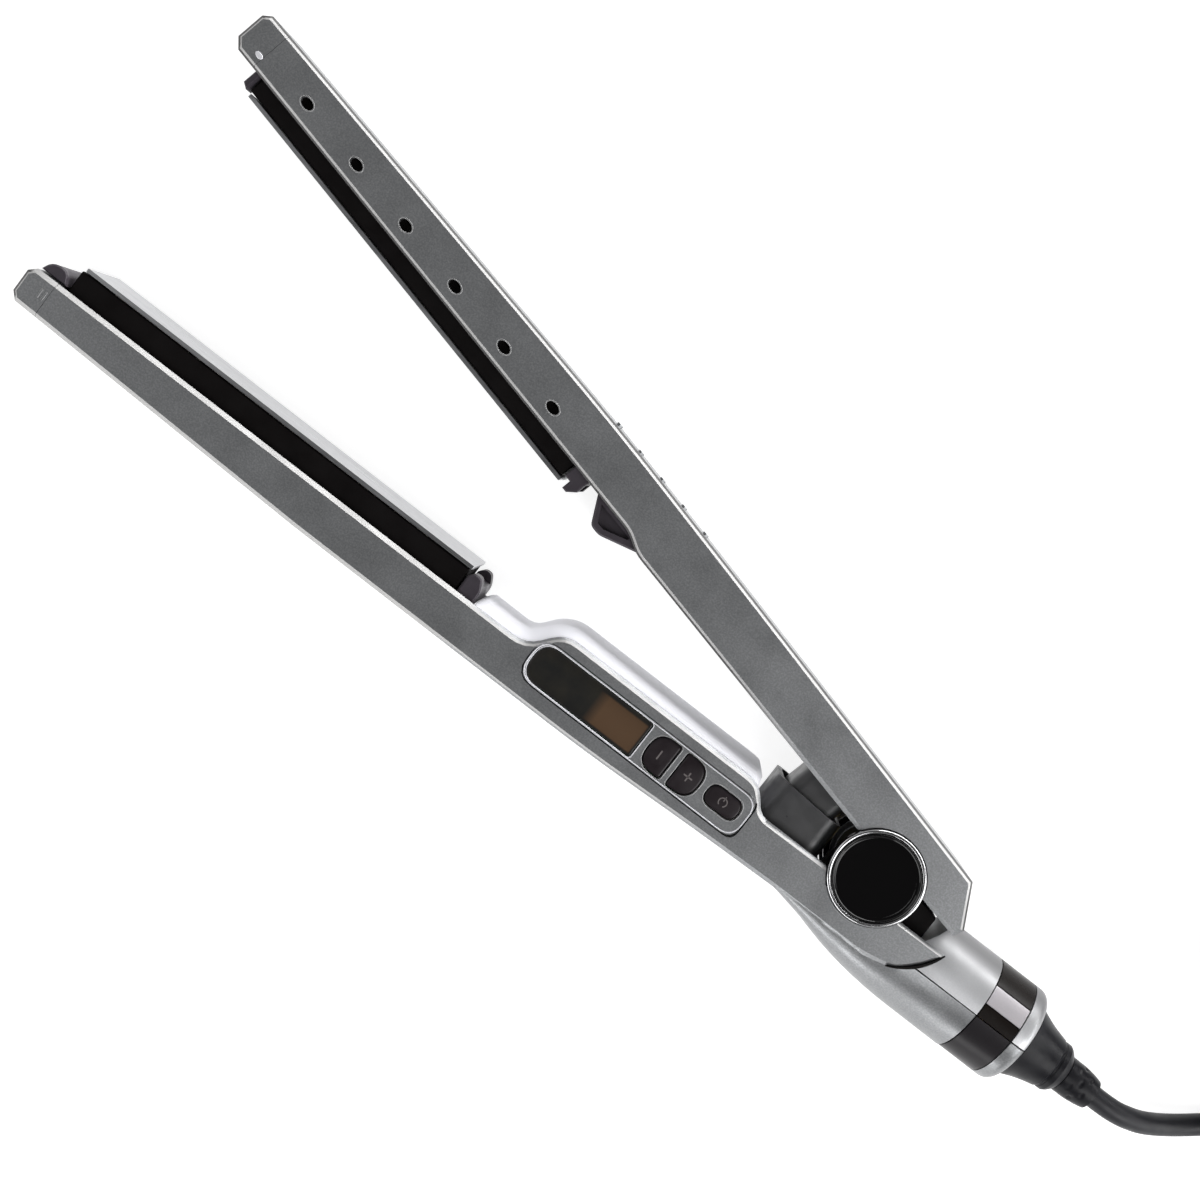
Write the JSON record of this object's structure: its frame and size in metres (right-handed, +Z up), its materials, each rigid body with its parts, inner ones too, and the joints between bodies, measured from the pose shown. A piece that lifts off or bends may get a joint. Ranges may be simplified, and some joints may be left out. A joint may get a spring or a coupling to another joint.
{
  "type": "hair straightener",
  "caption": "Hair straightener with two hinged arms, heated plates, a side control panel with display and a swivelling mains lead, lying open on its side.",
  "frame": {"origin": "hinge axis at the face of the far pivot cap, which lies in the plane the iron rests on", "axes": "+X along the lower arm from its tip to the tail and lead, +Y from the lower arm towards the upper arm, +Z up out of the resting plane, along the hinge axis"},
  "size_m": [0.4217, 0.1266, 0.0416],
  "materials": {
    "grey_casing": "satin metallic grey lacquer",
    "silver_cover": "light silver lacquer",
    "hinge_housing": "moulded satin grey",
    "black_carrier": "black heat-resistant moulding",
    "plate_silver": "smooth silver plate",
    "heater_ceramic": "fired ceramic",
    "steel": "plain steel",
    "brass": "plain brass",
    "clip_grey": "moulded purple-grey",
    "circuit_board": "solder mask",
    "display_dark": "display glass back",
    "display_lens": "glossy smoked window",
    "silicone": "translucent silicone",
    "button_black": "satin black keys",
    "gloss_black": "high gloss black",
    "chrome": "bright chrome",
    "band_black": "glossy black band",
    "band_grey": "dark grey band",
    "gland_black": "moulded satin black",
    "cord_black": "matt black sheath",
    "tie_black": "woven hook-and-loop strap",
    "plug_blades": "nickelled brass"
  },
  "bodies": {
    "lower_arm": {"lower_casing": "grey_casing", "lower_tip_cap": "grey_casing", "lower_inner_cover": "silver_cover", "lower_rear_cover": "black_carrier", "lower_plate_carrier": "black_carrier", "lower_plate": "plate_silver", "lower_heater": "heater_ceramic", "lower_thermal_fuse": "steel", "lower_thermistor": "brass", "lower_front_clip": "clip_grey", "lower_rear_clip": "clip_grey", "circuit_board": "circuit_board", "display_module": "display_dark", "display_lens": "display_lens", "button_keypad": "silicone", "control_bezel": "grey_casing", "lower_hinge_housing": "hinge_housing", "opening_spring": "steel", "pivot_pin": "steel", "pivot_screw": "steel", "pivot_sleeve": "brass", "near_washer": "steel", "far_washer": "steel", "near_pivot_cap": "gloss_black", "near_cap_ring": "chrome", "far_pivot_cap": "gloss_black", "far_cap_ring": "chrome", "tail_top_cover": "silver_cover", "tail_band_upper": "band_black", "tail_band_inlay": "silver_cover", "tail_band_lower": "band_grey", "end_collar_upper": "silver_cover", "end_collar_lower": "grey_casing", "contact_block": "black_carrier", "cord_gland": "gland_black", "cord_lead": "cord_black", "cord_coil": "cord_black", "coil_tie": "tie_black", "plug_body": "cord_black", "plug_blade_inner": "plug_blades", "plug_blade_outer": "plug_blades"},
    "upper_arm": {"upper_casing": "grey_casing", "upper_tip_cap": "grey_casing", "upper_inner_cover": "grey_casing", "guard_nose": "clip_grey", "upper_hinge_block": "hinge_housing", "upper_front_clip": "clip_grey", "upper_rear_clip": "clip_grey", "front_float_pad": "silicone", "rear_float_pad": "silicone"},
    "floating_plate": {"upper_plate_carrier": "black_carrier", "upper_plate": "plate_silver", "upper_heater": "heater_ceramic"},
    "minus_button": {"minus_button": "button_black"},
    "plus_button": {"plus_button": "button_black"},
    "power_button": {"power_button": "button_black"},
    "cord_swivel": {"cord_boot": "gland_black", "swivel_core": "brass"}
  },
  "joints": [
    {"name": "arm_hinge", "type": "hinge", "parent": "lower_arm", "child": "upper_arm", "pos_m": [0, 0, 0.016], "axis": [0, 0, 1], "range_deg": [0, 13.4], "stiffness_Nm_per_rad": 1.2, "springref_deg": -5.73, "deforming": ["opening_spring"]},
    {"name": "plate_float", "type": "slide", "parent": "upper_arm", "child": "floating_plate", "axis": [0.2317, 0.9728, 0], "range_m": [0, 0.001], "stiffness_N_per_m": 4000},
    {"name": "minus_press", "type": "slide", "parent": "lower_arm", "child": "minus_button", "axis": [0, 0, -1], "range_m": [0, 0.0008], "stiffness_N_per_m": 900},
    {"name": "plus_press", "type": "slide", "parent": "lower_arm", "child": "plus_button", "axis": [0, 0, -1], "range_m": [0, 0.0008], "stiffness_N_per_m": 900},
    {"name": "power_press", "type": "slide", "parent": "lower_arm", "child": "power_button", "axis": [0, 0, -1], "range_m": [0, 0.0008], "stiffness_N_per_m": 900},
    {"name": "lead_swivel", "type": "hinge", "parent": "lower_arm", "child": "cord_swivel", "pos_m": [0.06, -0.012, 0.016], "axis": [1, 0, 0], "continuous": true}
  ]
}
